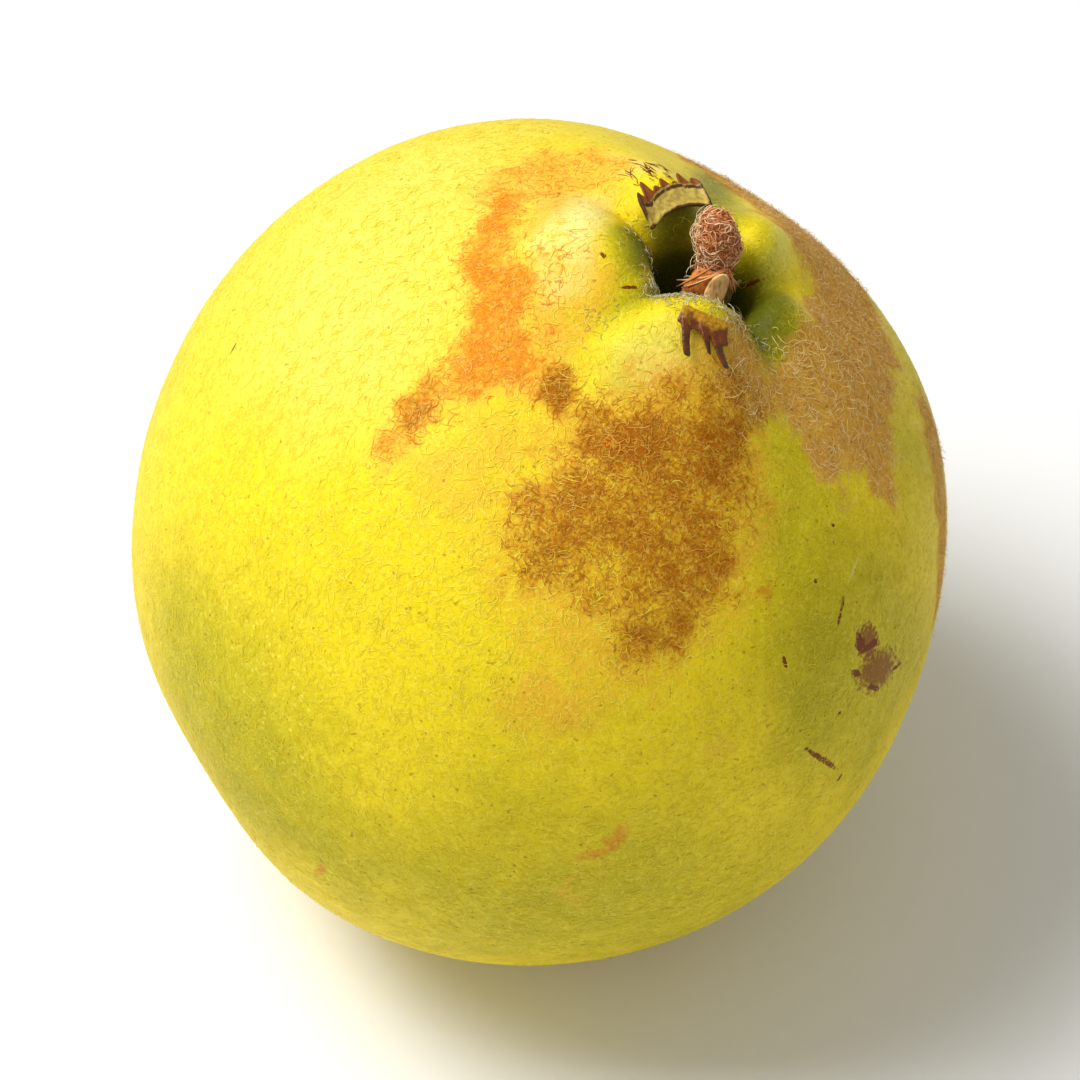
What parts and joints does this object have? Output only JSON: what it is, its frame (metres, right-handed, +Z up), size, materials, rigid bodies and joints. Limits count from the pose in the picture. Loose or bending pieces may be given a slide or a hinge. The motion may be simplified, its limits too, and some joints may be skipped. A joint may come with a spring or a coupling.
{
  "type": "quince",
  "caption": "Ripe yellow quince as picked, near-round with a knobbly lobed calyx end, dried flower remains and woolly rust-brown patches, resting on a small flat spot.",
  "frame": {"origin": "middle of the small flat spot that the fruit rests on", "axes": "+Z up from the surface it rests on; the fruit's own axis leans 21 degrees from +Z towards +X, calyx end up; +Y away from the side with the folded front sepal"},
  "size_m": [0.0911, 0.0937, 0.094],
  "materials": {
    "skin": "satin yellow-green skin with rust-brown felt and loose pale down",
    "dried_flower": "dry red-brown woolly plant hair",
    "papery_scale": "dry tan papery scale",
    "dried_sepal": "dry dark brown leathery sepal",
    "stem_wood": "matt grey-brown bark with a torn fibrous end"
  },
  "bodies": {
    "root": {"fruit": "skin", "dried_stamens": "dried_flower", "flower_scale_left": "papery_scale", "flower_scale_middle": "papery_scale", "flower_scale_right": "papery_scale", "front_sepal": "dried_sepal", "back_sepal": "dried_sepal", "stem_stub": "stem_wood"}
  },
  "joints": []
}
